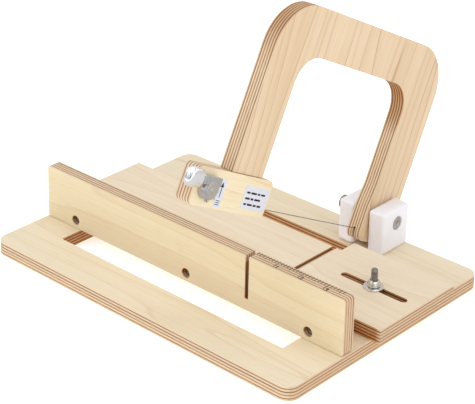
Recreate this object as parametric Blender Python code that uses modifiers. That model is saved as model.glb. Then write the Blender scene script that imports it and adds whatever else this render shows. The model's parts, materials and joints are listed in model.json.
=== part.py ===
"""Single-wire soap cutter in birch plywood, in metres.

Frame: X runs along the fence to the right, Y runs from the front to the rear, Z is up.
X = 0 is the plane of the cutting wire, Y = 0 lies under the bow's hinge axis and Z = 0 is
the underside of the base board.  The bow and everything on it is drawn in the lowered pose,
with Y and Z counted from the hinge axis, and a pivot empty then raises it to its rest angle.
"""
import math

import bmesh
import bpy
from mathutils import Matrix

MM = 0.001
GAP = 0.3 * MM               # kept between pieces that touch
EPS = 1.0 * MM               # how far a cutter runs past the surface it opens

# ---- driving dimensions ---------------------------------------------------------------
PLY = 12.7 * MM              # base, fence and bed
BOW_PLY = 14.0 * MM
BASE_WIDTH = 340.0 * MM
BASE_DEPTH = 254.0 * MM
BASE_STRIP = 42.0 * MM       # width of the frame left around the window
CUT_FROM_LEFT = 239.5 * MM   # wire plane from the base's left end
AXIS_FROM_REAR = 16.7 * MM   # hinge axis from the base's rear edge
AXIS_RISE = 25.3 * MM        # hinge axis above the base's top face
RAISE = math.radians(27.0)   # how far the bow is lifted at rest

FENCE_SETBACK = 64.6 * MM    # fence front behind the base's front edge
FENCE_HEIGHT = 50.0 * MM
SLIT_WIDTH = 3.8 * MM
SLIT_BOTTOM = 23.8 * MM
BED_OVERHANG = 9.5 * MM      # bed past the base's right end
BED_REAR = -55.0 * MM        # rear edge left of the bow
BED_TAIL_REAR = -37.0 * MM   # rear edge right of the bow
BED_TAIL_LEFT = 6.5 * MM
BED_NOSE = -137.0 * MM       # front edge of the cut-back corner beyond the fence
BED_NOSE_LEFT = 84.0 * MM
GROOVE_LEFT = -3.5 * MM      # shallow groove in the bed, under the wire
GROOVE_RIGHT = 1.2 * MM
GROOVE_DEPTH = 3.4 * MM

WIRE_DROP = 15.8 * MM        # wire below the hinge axis
WIRE_RADIUS = 0.4 * MM
BOW_REAR = 21.0 * MM         # bow outline, from the hinge axis
BOW_FRONT = -230.0 * MM
BOW_TOP = 155.5 * MM
FRONT_LEG = 40.0 * MM
REAR_LEG = 43.5 * MM
TOP_BAR = 39.8 * MM
OUTER_RADIUS = 42.0 * MM
INNER_RADIUS = 25.0 * MM
FOOT_PROUD = 2.5 * MM        # foot in front of the rear leg
FOOT_RADIUS = 24.7 * MM      # foot around the hinge axis, clear of the base

BLOCK_LENGTH = 98.5 * MM     # tension block
BLOCK_REAR = -175.2 * MM
BLOCK_TOP = 9.5 * MM
BLOCK_BOTTOM = -21.5 * MM
BLOCK_PROUD = 1.5 * MM       # beyond the bow's right face

PIVOT_THICKNESS = 16.0 * MM  # hinge blocks
PIVOT_FRONT = -21.0 * MM
PIVOT_REAR = 16.5 * MM
PIVOT_HEIGHT = 39.5 * MM
PIVOT_SIDE_GAP = 1.2 * MM    # between the leg and each hinge block
BOLT_RADIUS = 3.0 * MM
BORE_RADIUS = BOLT_RADIUS + GAP

STOP_X = 64.6 * MM           # stop bolt at rest, in the middle of its slot
STOP_Y = -86.2 * MM
STOP_TRAVEL = 30.0 * MM      # each way
STOP_TOP = 42.8 * MM
SLOT_HALF_WIDTH = BOLT_RADIUS + 0.5 * MM
CHANNEL_HALF_WIDTH = 8.2 * MM   # recess under the slot, in which the bolt's head slides
CHANNEL_DEPTH = 5.2 * MM

GEAR_TEETH = 14
GEAR_MODULE = 0.735 * MM
GEAR_Y = -260.0 * MM         # string post, in the bow's lowered frame
GEAR_Z = -6.6 * MM
WORM_Z = 0.4 * MM
BUTTON_MIDDLE = -23.2 * MM   # knob, in front of the string post and clear of the block's end
BUTTON_FRONT = BUTTON_MIDDLE - 7.6 * MM
BUTTON_REAR = BUTTON_MIDDLE + 8.4 * MM

# ---- worked out from the driving dimensions ----------------------------------------------
BASE_LEFT = -CUT_FROM_LEFT
BASE_RIGHT = BASE_LEFT + BASE_WIDTH
BASE_REAR = AXIS_FROM_REAR
BASE_FRONT = BASE_REAR - BASE_DEPTH
AXIS_Z = PLY + AXIS_RISE
FENCE_FRONT = BASE_FRONT + FENCE_SETBACK
FENCE_REAR = FENCE_FRONT + PLY
FENCE_BOTTOM = PLY + GAP
FENCE_TOP = FENCE_BOTTOM + FENCE_HEIGHT
BED_BOTTOM = PLY + GAP
BED_TOP = BED_BOTTOM + PLY
BED_RIGHT = BASE_RIGHT + BED_OVERHANG
FENCE_HOLE_Z = BED_BOTTOM + PLY / 2 + 1.2 * MM
FENCE_HOLE_X = (BASE_LEFT + 36 * MM, BASE_LEFT + 171.5 * MM, BASE_LEFT + 304.5 * MM)
BED_SCREWS = (("left_front", BASE_LEFT + 21 * MM, -140 * MM),
              ("left_rear", BASE_LEFT + 21 * MM, -75 * MM),
              ("right_front", BASE_RIGHT - 20 * MM, -118 * MM),
              ("right_rear", BASE_RIGHT - 20 * MM, -55 * MM))
PIVOT_INNER = BOW_PLY / 2 + PIVOT_SIDE_GAP
PIVOT_OUTER = PIVOT_INNER + PIVOT_THICKNESS
PIVOT_SCREW_Y = (("front", -9.5 * MM), ("rear", 9.5 * MM))
BLOCK_LEFT = -BOW_PLY / 2
BLOCK_RIGHT = BOW_PLY / 2 + BLOCK_PROUD
BLOCK_FRONT = BLOCK_REAR - BLOCK_LENGTH
GEAR_X = BLOCK_RIGHT + GAP + 3.9 * MM
THREAD_PITCH = math.pi * GEAR_MODULE

# ---- fasteners and small hardware --------------------------------------------------------
SCREW_RADIUS = 1.7 * MM
PILOT_RADIUS = SCREW_RADIUS + GAP
CLEARANCE_RADIUS = 2.3 * MM
HEAD_RADIUS = 3.9 * MM
COUNTERBORE_RADIUS = 4.5 * MM
COUNTERBORE_DEPTH = 6.6 * MM
HEAD_SUNK = 0.8 * MM         # screw heads above the base's underside
DOWEL_RADIUS = 2.9 * MM
DOWEL_Y = (("front", BOW_FRONT + 10 * MM), ("rear", BOW_FRONT + 30 * MM))
DOWEL_DEPTH = 12.8 * MM      # into each of the two pieces it joins
BALL_Y = -13.5 * MM          # anchor of the wire in the leg's foot
BALL_RADIUS = 2.2 * MM
GUIDE_Y = -243.0 * MM        # pin that leads the wire up to the string post
GUIDE_RADIUS = 1.5 * MM
POST_RADIUS = 2.8 * MM

COLOURS = {
    "plywood": ((0.80, 0.62, 0.38), 0.55, 0.0),
    "dowel": ((0.74, 0.56, 0.34), 0.6, 0.0),
    "hdpe": ((0.86, 0.83, 0.83), 0.4, 0.0),
    "nylon": ((0.90, 0.88, 0.82), 0.5, 0.0),
    "zinc": ((0.62, 0.62, 0.62), 0.35, 1.0),
    "dark_steel": ((0.16, 0.16, 0.16), 0.45, 1.0),
    "chrome": ((0.82, 0.82, 0.82), 0.12, 1.0),
    "brass": ((0.72, 0.54, 0.24), 0.35, 1.0),
}

# local axes of a flat outline or a turned piece -> the direction its thickness or axis takes
ALONG_Z = Matrix.Identity(4)
ALONG_X = Matrix(((0, 0, 1, 0), (1, 0, 0, 0), (0, 1, 0, 0), (0, 0, 0, 1)))
ALONG_Y = Matrix(((1, 0, 0, 0), (0, 0, 1, 0), (0, -1, 0, 0), (0, 0, 0, 1)))
ALONG_MINUS_Y = Matrix(((1, 0, 0, 0), (0, 0, -1, 0), (0, 1, 0, 0), (0, 0, 0, 1)))
ALONG_MINUS_Z = Matrix(((1, 0, 0, 0), (0, -1, 0, 0), (0, 0, -1, 0), (0, 0, 0, 1)))

for stale in list(bpy.data.objects):
    bpy.data.objects.remove(stale)

PARTS = bpy.data.collections.new("wire_soap_cutter")
CUTTERS = bpy.data.collections.new("cutters")
bpy.context.scene.collection.children.link(PARTS)
bpy.context.scene.collection.children.link(CUTTERS)


# ---- modelling helpers ---------------------------------------------------------------------
def finish_material(piece, kind):
    """Give the piece its own Principled material of the given kind."""
    colour, roughness, metallic = COLOURS[kind]
    material = bpy.data.materials.new(f"{piece.name}_{kind}")
    material.use_nodes = True
    shader = material.node_tree.nodes["Principled BSDF"]
    shader.inputs["Base Color"].default_value = (*colour, 1.0)
    shader.inputs["Roughness"].default_value = roughness
    shader.inputs["Metallic"].default_value = metallic
    piece.data.materials.append(material)


def place(name, mesh, kind=None, parent=None):
    """Link a mesh as a part of the given kind, or as a cutter when it has none."""
    piece = bpy.data.objects.new(name, mesh)
    piece.parent = parent
    if kind:
        PARTS.objects.link(piece)
        finish_material(piece, kind)
    else:
        CUTTERS.objects.link(piece)
        piece.hide_render = True
        piece.display_type = "WIRE"
    return piece


def pivot(name, location, turn_x=0.0, parent=None):
    """An empty that marks a joint's axis."""
    empty = bpy.data.objects.new(name, None)
    PARTS.objects.link(empty)
    empty.parent = parent
    empty.location = location
    empty.rotation_euler = (turn_x, 0.0, 0.0)
    return empty


def smooth(mesh):
    mesh.shade_smooth()
    mesh.set_sharp_from_angle(angle=math.radians(35))


def box(name, low, high, kind=None, parent=None, edge=0.0):
    """An upright box between two corners, with its edges rounded by edge."""
    build = bmesh.new()
    bmesh.ops.create_cube(build, size=1.0)
    size = [b - a for a, b in zip(low, high)]
    bmesh.ops.scale(build, vec=size, verts=build.verts)
    mesh = bpy.data.meshes.new(name)
    build.to_mesh(mesh)
    build.free()
    piece = place(name, mesh, kind, parent)
    piece.location = [(a + b) / 2 for a, b in zip(low, high)]
    if edge:
        bevel = piece.modifiers.new("edge", "BEVEL")
        bevel.width = edge
        bevel.segments = 3
        smooth(mesh)
    return piece


def arc(centre, radius, start, end, steps):
    """Points on an arc, from start to end in degrees."""
    points = []
    for step in range(steps + 1):
        angle = math.radians(start + (end - start) * step / steps)
        points.append((centre[0] + radius * math.cos(angle), centre[1] + radius * math.sin(angle)))
    return points


def rounded_box_outline(low, high, radius, steps=6):
    """A rectangle with rounded corners, anticlockwise from its lower right corner."""
    x0, y0 = low[0] + radius, low[1] + radius
    x1, y1 = high[0] - radius, high[1] - radius
    return (arc((x1, y0), radius, -90, 0, steps) + arc((x1, y1), radius, 0, 90, steps)
            + arc((x0, y1), radius, 90, 180, steps) + arc((x0, y0), radius, 180, 270, steps))


def flat_mesh(name, outlines, low, high, axes=ALONG_Z):
    """Closed outlines filled and given thickness from low to high along the outline's normal."""
    curve = bpy.data.curves.new(name, "CURVE")
    curve.dimensions = "2D"
    curve.fill_mode = "BOTH"
    curve.extrude = (high - low) / 2
    for outline in outlines:
        spline = curve.splines.new("POLY")
        spline.points.add(len(outline) - 1)
        spline.use_cyclic_u = True
        for point, (x, y) in zip(spline.points, outline):
            point.co = (x, y, 0.0, 1.0)
    mesh = curve_to_mesh(name, curve)
    mesh.transform(axes @ Matrix.Translation((0, 0, (low + high) / 2)))
    return mesh


def curve_to_mesh(name, curve):
    """The mesh of a curve, with its caps welded on."""
    guide = bpy.data.objects.new(name + "_curve", curve)
    CUTTERS.objects.link(guide)
    depsgraph = bpy.context.evaluated_depsgraph_get()
    mesh = bpy.data.meshes.new_from_object(guide.evaluated_get(depsgraph))
    bpy.data.objects.remove(guide)
    build = bmesh.new()
    build.from_mesh(mesh)
    bmesh.ops.remove_doubles(build, verts=build.verts, dist=1e-6)
    bmesh.ops.recalc_face_normals(build, faces=build.faces)
    build.to_mesh(mesh)
    build.free()
    mesh.name = name
    return mesh


def flat(name, outlines, low, high, axes=ALONG_Z, kind=None, parent=None):
    return place(name, flat_mesh(name, outlines, low, high, axes), kind, parent)


def turned(name, profile, location, axes=ALONG_Z, kind=None, parent=None, steps=24, closed=False):
    """A turned piece: (radius, height) points from the top of its axis to the bottom.

    A closed profile joins its last point to its first and never meets the axis.
    """
    mesh = bpy.data.meshes.new(name)
    edges = [(index, index + 1) for index in range(len(profile) - 1)]
    if closed:
        edges.append((len(profile) - 1, 0))
    mesh.from_pydata([(radius, 0.0, height) for radius, height in profile], edges, [])
    piece = place(name, mesh, kind, parent)
    turn = piece.modifiers.new("turn", "SCREW")
    turn.steps = steps
    turn.render_steps = steps
    turn.use_merge_vertices = True
    turn.merge_threshold = 0.01 * MM
    piece.matrix_local = Matrix.Translation(location) @ axes
    return piece


def ring(name, outer, inner, low, high, location, axes, kind, steps=24):
    """A washer: a tube with square ends."""
    profile = [(outer, high), (outer, low), (inner, low), (inner, high)]
    return turned(name, profile, location, axes, kind, steps=steps, closed=True)


def rod(name, radius, low, high, location, axes, kind=None, parent=None, steps=24):
    """A plain cylinder from low to high along its axis."""
    profile = [(0, high), (radius, high), (radius, low), (0, low)]
    return turned(name, profile, location, axes, kind, parent, steps)


def combine(piece, other, operation):
    """Add or take away another piece's shape."""
    change = piece.modifiers.new(other.name, "BOOLEAN")
    change.operation = operation
    change.object = other
    change.solver = "EXACT"


def cut(piece, cutter):
    combine(piece, cutter, "DIFFERENCE")


def wood_screw(name, length, location, axes, parent=None, head=HEAD_RADIUS, shank=SCREW_RADIUS):
    """A countersunk wood screw with a cross recess, its head's top at the location."""
    slope = head - shank
    profile = [(0, 0), (head, 0), (head, -0.5 * MM), (shank, -0.5 * MM - slope),
               (shank, 4 * shank - length), (0.25 * shank, -length), (0, -length)]
    screw = turned(name, profile, location, axes, "zinc", parent, steps=16)
    reach = 0.55 * head
    for index in range(2):
        size = (reach, 0.14 * head) if index else (0.14 * head, reach)
        recess = box(f"{name}_recess_{index}", (-size[0], -size[1], -0.45 * head), (size[0], size[1], EPS),
                     parent=screw)
        cut(screw, recess)
    return screw


# ---- wooden boards -------------------------------------------------------------------------
def base_board():
    outline = rounded_box_outline((BASE_LEFT, BASE_FRONT), (BASE_RIGHT, BASE_REAR), 11 * MM)
    window = rounded_box_outline((BASE_LEFT + BASE_STRIP, BASE_FRONT + BASE_STRIP),
                                 (BASE_RIGHT - BASE_STRIP, BASE_REAR - BASE_STRIP), 1.5 * MM)
    board = flat("base_board", [outline], 0.0, PLY, kind="plywood")
    cut(board, flat("base_window", [window], -EPS, PLY + EPS))
    places = [(x, y) for _, x, y in BED_SCREWS]
    for side in (-1, 1):
        places += [(side * (PIVOT_INNER + PIVOT_THICKNESS / 2), y) for _, y in PIVOT_SCREW_Y]
    for index, (x, y) in enumerate(places):
        sink = [(0, PLY + EPS), (CLEARANCE_RADIUS, PLY + EPS), (CLEARANCE_RADIUS, HEAD_SUNK + 3.2 * MM),
                (COUNTERBORE_RADIUS, HEAD_SUNK + 1.0 * MM), (COUNTERBORE_RADIUS, -EPS), (0, -EPS)]
        cut(board, turned(f"base_hole_{index}", sink, (x, y, 0), steps=16))
    return board


def fence():
    outline = rounded_box_outline((BASE_LEFT, FENCE_BOTTOM), (BASE_RIGHT, FENCE_TOP), 2.5 * MM, steps=3)
    # ALONG_MINUS_Y turns an (x, y) outline upright and keeps x and z as drawn
    board = flat("fence", [outline], -FENCE_REAR, -FENCE_FRONT, ALONG_MINUS_Y, "plywood")
    cut(board, box("fence_slit", (-SLIT_WIDTH / 2, FENCE_FRONT - EPS, SLIT_BOTTOM),
                   (SLIT_WIDTH / 2, FENCE_REAR + EPS, FENCE_TOP + EPS)))
    hole = [(0, EPS), (COUNTERBORE_RADIUS, EPS), (COUNTERBORE_RADIUS, -COUNTERBORE_DEPTH),
            (CLEARANCE_RADIUS, -COUNTERBORE_DEPTH), (CLEARANCE_RADIUS, -PLY - EPS), (0, -PLY - EPS)]
    for index, x in enumerate(FENCE_HOLE_X):
        cut(board, turned(f"fence_hole_{index}", hole, (x, FENCE_FRONT, FENCE_HOLE_Z), ALONG_MINUS_Y,
                          steps=20))
    return board


def bed_board():
    front = FENCE_REAR + GAP
    outline = [(BASE_LEFT, front), (BED_NOSE_LEFT, front), (BED_NOSE_LEFT, BED_NOSE), (BED_RIGHT, BED_NOSE),
               (BED_RIGHT, BED_TAIL_REAR), (BED_TAIL_LEFT, BED_TAIL_REAR), (BED_TAIL_LEFT, BED_REAR),
               (BASE_LEFT, BED_REAR)]
    board = flat("bed_board", [outline], BED_BOTTOM, BED_TOP, kind="plywood")
    cut(board, box("bed_groove", (GROOVE_LEFT, front - EPS, BED_TOP - GROOVE_DEPTH),
                   (GROOVE_RIGHT, BED_REAR + EPS, BED_TOP + EPS)))
    for name, half_width, high in (("stop_slot", SLOT_HALF_WIDTH, BED_TOP + EPS),
                                   ("stop_channel", CHANNEL_HALF_WIDTH, BED_BOTTOM + CHANNEL_DEPTH)):
        reach = STOP_TRAVEL + half_width
        slot = rounded_box_outline((STOP_X - reach, STOP_Y - half_width),
                                   (STOP_X + reach, STOP_Y + half_width), half_width * 0.999)
        cut(board, flat(name, [slot], BED_BOTTOM - EPS, high))
    for label, x, y in BED_SCREWS:
        cut(board, rod("bed_pilot_" + label, PILOT_RADIUS, -EPS, 9.5 * MM, (x, y, BED_BOTTOM), ALONG_Z,
                       steps=12))
    for index, x in enumerate(FENCE_HOLE_X):
        cut(board, rod(f"bed_edge_pilot_{index}", PILOT_RADIUS, -EPS, 27 * MM, (x, front, FENCE_HOLE_Z),
                       ALONG_Y, steps=12))
    return board


def board_screws():
    for label, x in zip(("left", "middle", "right"), FENCE_HOLE_X):
        head_y = FENCE_FRONT + COUNTERBORE_DEPTH - 3.0 * MM
        wood_screw("fence_screw_" + label, 32 * MM, (x, head_y, FENCE_HOLE_Z), ALONG_MINUS_Y)
    for label, x, y in BED_SCREWS:
        wood_screw("bed_screw_" + label, 20.5 * MM, (x, y, HEAD_SUNK), ALONG_MINUS_Z)


# ---- hinge -----------------------------------------------------------------------------------
def hinge_blocks():
    for name, side in (("left", -1), ("right", 1)):
        x_low, x_high = sorted((side * PIVOT_INNER, side * PIVOT_OUTER))
        block = box("hinge_block_" + name, (x_low, PIVOT_FRONT, PLY + GAP),
                    (x_high, PIVOT_REAR, PLY + GAP + PIVOT_HEIGHT), "hdpe", edge=2.4 * MM)
        cut(block, rod(f"hinge_bore_{name}", BORE_RADIUS, x_low - EPS, x_high + EPS, (0, 0, AXIS_Z),
                       ALONG_X))
        if side > 0:
            cut(block, rod("bolt_head_recess", 6.5 * MM, PIVOT_OUTER - 4.4 * MM, PIVOT_OUTER + EPS,
                           (0, 0, AXIS_Z), ALONG_X, steps=28))
        middle = side * (PIVOT_INNER + PIVOT_THICKNESS / 2)
        for label, y in PIVOT_SCREW_Y:
            cut(block, rod(f"hinge_pilot_{name}_{label}", PILOT_RADIUS, -EPS, 18 * MM,
                           (middle, y, PLY + GAP), ALONG_Z, steps=12))
            wood_screw(f"hinge_screw_{name}_{label}", 29 * MM, (middle, y, HEAD_SUNK), ALONG_MINUS_Z)


def hexagon(radius):
    return arc((0, 0), radius, 30, 330, 5)


def hinge_hardware():
    axis = (0, 0, AXIS_Z)
    head_face = PIVOT_OUTER - 0.5 * MM
    head_seat = PIVOT_OUTER - 4.1 * MM
    shank_end = -PIVOT_OUTER - 13.0 * MM
    profile = [(0, head_face), (5.2 * MM, head_face), (6.0 * MM, head_face - 0.8 * MM),
               (6.0 * MM, head_seat), (BOLT_RADIUS, head_seat), (BOLT_RADIUS, shank_end + 0.6 * MM),
               (BOLT_RADIUS - 0.6 * MM, shank_end), (0, shank_end)]
    bolt = turned("hinge_bolt", profile, axis, ALONG_X, "dark_steel", steps=28)
    socket = flat("bolt_socket", [hexagon(2.3 * MM)], head_face - 2.2 * MM, head_face + EPS, ALONG_X)
    socket.location = axis
    cut(bolt, socket)
    for name, side in (("left", -1), ("right", 1)):
        middle = side * (BOW_PLY / 2 + PIVOT_SIDE_GAP / 2)
        ring(f"hinge_spacer_{name}", 9.0 * MM, BORE_RADIUS, -0.3 * MM, 0.3 * MM, (middle, 0, AXIS_Z),
             ALONG_X, "nylon")
    washer_low = -PIVOT_OUTER - GAP - 1.4 * MM
    ring("hinge_washer", 6.4 * MM, BORE_RADIUS, washer_low, washer_low + 1.4 * MM, axis, ALONG_X, "zinc")
    nut_high = washer_low - GAP
    nut = flat("hinge_nut", [hexagon(7.6 * MM)], nut_high - 10.2 * MM, nut_high, ALONG_X, "zinc")
    nut.location = axis
    cut(nut, rod("nut_bore", BORE_RADIUS, nut_high - 12 * MM, nut_high + EPS, axis, ALONG_X))


# ---- bow, in its lowered frame ----------------------------------------------------------------
def bow_outline():
    """The arch from the bottom of the front leg, over the top, to the hinge foot and back inside."""
    front_inner = BOW_FRONT + FRONT_LEG
    rear_inner = BOW_REAR - REAR_LEG
    inner_top = BOW_TOP - TOP_BAR
    leg_bottom = BLOCK_TOP + GAP
    foot_front = rear_inner - FOOT_PROUD
    corner = 7 * MM
    heel = math.degrees(math.acos(BOW_REAR / FOOT_RADIUS))
    outer_low = BOW_TOP - OUTER_RADIUS
    inner_low = inner_top - INNER_RADIUS
    outline = [(BOW_FRONT, leg_bottom)]
    outline += arc((BOW_FRONT + OUTER_RADIUS, outer_low), OUTER_RADIUS, 180, 90, 14)
    outline += arc((BOW_REAR - OUTER_RADIUS, outer_low), OUTER_RADIUS, 90, 0, 14)
    outline += arc((0, 0), FOOT_RADIUS, -heel, -90, 10)
    outline += arc((foot_front + corner, corner - FOOT_RADIUS), corner, -90, -180, 6)
    outline += [(foot_front, 6 * MM), (rear_inner - 0.6 * FOOT_PROUD, 14 * MM), (rear_inner, 26 * MM)]
    outline += arc((rear_inner - INNER_RADIUS, inner_low), INNER_RADIUS, 0, 90, 10)
    outline += arc((front_inner + INNER_RADIUS, inner_low), INNER_RADIUS, 90, 180, 10)
    outline += [(front_inner, leg_bottom)]
    return outline


def bow(hinge):
    half = BOW_PLY / 2
    arch = flat("bow", [bow_outline()], -half, half, ALONG_X, "plywood", hinge)
    cut(arch, rod("bow_bore", BORE_RADIUS, -half - EPS, half + EPS, (0, 0, 0), ALONG_X, parent=hinge))
    kerf_front = BOW_REAR - REAR_LEG - FOOT_PROUD - EPS
    cut(arch, box("wire_kerf", (-0.7 * MM, kerf_front, -FOOT_RADIUS - EPS),
                  (0.7 * MM, BALL_Y, EPS / 2 - WIRE_DROP), parent=hinge))
    cut(arch, rod("ball_hole", BALL_RADIUS + GAP, -FOOT_RADIUS - EPS, 3.2 * MM - WIRE_DROP,
                  (0, BALL_Y, 0), ALONG_Z, parent=hinge, steps=16))
    for label, y in DOWEL_Y:
        cut(arch, rod("leg_dowel_hole_" + label, DOWEL_RADIUS + GAP, -EPS, DOWEL_DEPTH + GAP,
                      (0, y, BLOCK_TOP + GAP), ALONG_Z, parent=hinge, steps=16))
    return arch


def tension_block(hinge):
    outline = rounded_box_outline((BLOCK_FRONT, BLOCK_BOTTOM), (BLOCK_REAR, BLOCK_TOP), 4.5 * MM, steps=5)
    block = flat("tension_block", [outline], BLOCK_LEFT, BLOCK_RIGHT, ALONG_X, "plywood", hinge)
    cut(block, box("wire_channel", (-1.3 * MM, GUIDE_Y, BLOCK_BOTTOM - EPS),
                   (1.3 * MM, BLOCK_REAR + EPS, EPS - WIRE_DROP), parent=hinge))
    cut(block, box("winding_pocket", (-2.7 * MM, GEAR_Y - 6 * MM, BLOCK_BOTTOM - EPS),
                   (2.7 * MM, GUIDE_Y + 3 * MM, GEAR_Z + 5.2 * MM), parent=hinge))
    post = (0, GEAR_Y, GEAR_Z)
    cut(block, rod("post_hole", POST_RADIUS + GAP, 0, BLOCK_RIGHT + EPS, post, ALONG_X, parent=hinge))
    cut(block, rod("bushing_hole", 4.6 * MM, BLOCK_LEFT - EPS, 0, post, ALONG_X, parent=hinge))
    cut(block, rod("guide_hole", GUIDE_RADIUS + GAP, BLOCK_LEFT - EPS, BLOCK_RIGHT + EPS, guide_centre(),
                   ALONG_X, parent=hinge, steps=16))
    cut(block, rod("mount_pilot", 0.9 * MM, BLOCK_RIGHT - 5 * MM, BLOCK_RIGHT + EPS, mount_centre(),
                   ALONG_X, parent=hinge, steps=12))
    for label, y in DOWEL_Y:
        cut(block, rod("block_dowel_hole_" + label, DOWEL_RADIUS + GAP, -DOWEL_DEPTH - GAP, EPS,
                       (0, y, BLOCK_TOP), ALONG_Z, parent=hinge, steps=16))
        rod("block_dowel_" + label, DOWEL_RADIUS, -DOWEL_DEPTH, DOWEL_DEPTH, (0, y, BLOCK_TOP + GAP / 2),
            ALONG_Z, "dowel", hinge, steps=16)
    return block


def guide_centre():
    return (0, GUIDE_Y, GUIDE_RADIUS + WIRE_RADIUS + 0.25 * MM - WIRE_DROP)


def mount_centre():
    return (0, GEAR_Y + 6 * MM, GEAR_Z - 8.7 * MM)


def wire_path():
    """From the ball anchor straight to the guide pin, then under and round the string post."""
    coil_radius = POST_RADIUS + WIRE_RADIUS + 0.15 * MM
    turns, steps_per_turn, pitch = 2.25, 16, 1.0 * MM
    path = [(0, BALL_Y - BALL_RADIUS - GAP, -WIRE_DROP), (0, GUIDE_Y, -WIRE_DROP)]
    for step in range(int(turns * steps_per_turn) + 1):
        angle = -math.pi / 2 - 2 * math.pi * step / steps_per_turn
        x = pitch * (step / steps_per_turn - turns / 2)
        path.append((x, GEAR_Y + coil_radius * math.cos(angle), GEAR_Z + coil_radius * math.sin(angle)))
    return path


def tube_mesh(name, path, radius, resolution):
    """A round wire along a path, closed at both ends."""
    curve = bpy.data.curves.new(name, "CURVE")
    curve.dimensions = "3D"
    curve.bevel_depth = radius
    curve.bevel_resolution = resolution
    curve.use_fill_caps = True
    spline = curve.splines.new("POLY")
    spline.points.add(len(path) - 1)
    for point, co in zip(spline.points, path):
        point.co = (*co, 1.0)
    return curve_to_mesh(name, curve)


def wire_pieces(hinge):
    wire = tube_mesh("cutting_wire", wire_path(), WIRE_RADIUS, 1)
    smooth(wire)
    place("cutting_wire", wire, "chrome", hinge)
    rod("wire_ball_end", BALL_RADIUS, -1.9 * MM, 1.9 * MM, (0, BALL_Y, -WIRE_DROP), ALONG_Z, "brass",
        hinge, steps=16)
    rod("wire_guide_pin", GUIDE_RADIUS, BLOCK_LEFT + GAP, BLOCK_RIGHT - GAP, guide_centre(), ALONG_X,
        "dark_steel", hinge, steps=16)


# ---- machine head that tightens the wire --------------------------------------------------------
def tuner_housing(hinge):
    """A round gear cover and a square worm barrel in one casting, open towards the block."""
    seat = BLOCK_RIGHT + GAP
    end = seat + 7.6 * MM
    cover = [(0, end), (5.6 * MM, end), (7.2 * MM, end - 0.5 * MM), (8.3 * MM, end - 2.2 * MM),
             (8.8 * MM, end - 4.6 * MM), (8.8 * MM, seat), (0, seat)]
    housing = turned("tuner_housing", cover, (0, GEAR_Y, GEAR_Z), ALONG_X, "chrome", hinge, steps=40)
    barrel = box("barrel", (seat, GEAR_Y - 13.5 * MM, WORM_Z - 3.7 * MM),
                 (seat + 7.6 * MM, GEAR_Y + 8.6 * MM, WORM_Z + 3.7 * MM), parent=hinge, edge=0.9 * MM)
    combine(housing, barrel, "UNION")
    tab = rod("mount_tab", 2.3 * MM, seat, seat + 1.2 * MM, mount_centre(), ALONG_X, parent=hinge, steps=20)
    combine(housing, tab, "UNION")
    inner_end = GEAR_X + 1.8 * MM
    cut(housing, rod("gear_cavity", 7.6 * MM, seat - EPS, inner_end, (0, GEAR_Y, GEAR_Z), ALONG_X,
                     parent=hinge, steps=32))
    worm_axis = (GEAR_X, 0, WORM_Z)
    cut(housing, rod("worm_cavity", 2.9 * MM, GEAR_Y - 10.5 * MM, GEAR_Y + 7.4 * MM, worm_axis, ALONG_Y,
                     parent=hinge))
    cut(housing, rod("shaft_hole", 1.7 * MM, GEAR_Y - 15 * MM, GEAR_Y - 9 * MM, worm_axis, ALONG_Y,
                     parent=hinge))
    cut(housing, rod("tab_hole", 0.9 * MM, seat - EPS, seat + 2.4 * MM, mount_centre(), ALONG_X,
                     parent=hinge, steps=12))
    return housing


def mount_screw(hinge):
    x, y, z = mount_centre()
    top = BLOCK_RIGHT + GAP + 1.2 * MM + GAP + 0.9 * MM
    profile = [(0, 0), (0.9 * MM, 0), (1.4 * MM, -0.4 * MM), (1.4 * MM, -0.9 * MM), (0.6 * MM, -0.9 * MM),
               (0.6 * MM, -5.5 * MM), (0.2 * MM, -6.3 * MM), (0, -6.3 * MM)]
    turned("tuner_mount_screw", profile, (x + top, y, z), ALONG_X, "zinc", hinge, steps=16)


def gear_outline():
    """Fourteen straight teeth with a gap, not a tooth, facing the worm."""
    root, tip = 4.45 * MM, 5.45 * MM
    outline = []
    for tooth in range(GEAR_TEETH):
        middle = 90 + 360 * (tooth + 0.5) / GEAR_TEETH
        for radius, half_width in ((root, 0.6 * MM), (tip, 0.32 * MM), (tip, -0.32 * MM), (root, -0.6 * MM)):
            angle = math.radians(middle) - half_width / radius
            outline.append((radius * math.cos(angle), radius * math.sin(angle)))
    return outline


def tuner_post(post_pivot):
    """String post, its origin on the post's axis."""
    gear_low = GEAR_X - 1.3 * MM
    gear_high = GEAR_X + 1.3 * MM
    left = BLOCK_LEFT + 0.6 * MM
    profile = [(0, gear_high + 0.2 * MM), (1.5 * MM, gear_high + 0.2 * MM), (1.5 * MM, gear_low - GAP),
               (POST_RADIUS, gear_low - GAP), (POST_RADIUS, left + 0.5 * MM),
               (POST_RADIUS - 0.5 * MM, left), (0, left)]
    turned("tuner_post", profile, (0, 0, 0), ALONG_X, "zinc", post_pivot, steps=20)
    bore = arc((0, 0), 1.5 * MM + GAP, 0, 345, 23)
    flat("tuner_gear", [gear_outline(), bore], gear_low, gear_high, ALONG_X, "brass", post_pivot)


def tuner_bushing(hinge):
    flange = BLOCK_LEFT - GAP
    profile = [(4.3 * MM, -3.2 * MM), (4.3 * MM, flange), (5.6 * MM, flange), (5.6 * MM, flange - 1.0 * MM),
               (POST_RADIUS + GAP, flange - 1.0 * MM), (POST_RADIUS + GAP, -3.2 * MM)]
    turned("tuner_bushing", profile, (0, GEAR_Y, GEAR_Z), ALONG_X, "chrome", hinge, closed=True)


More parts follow.
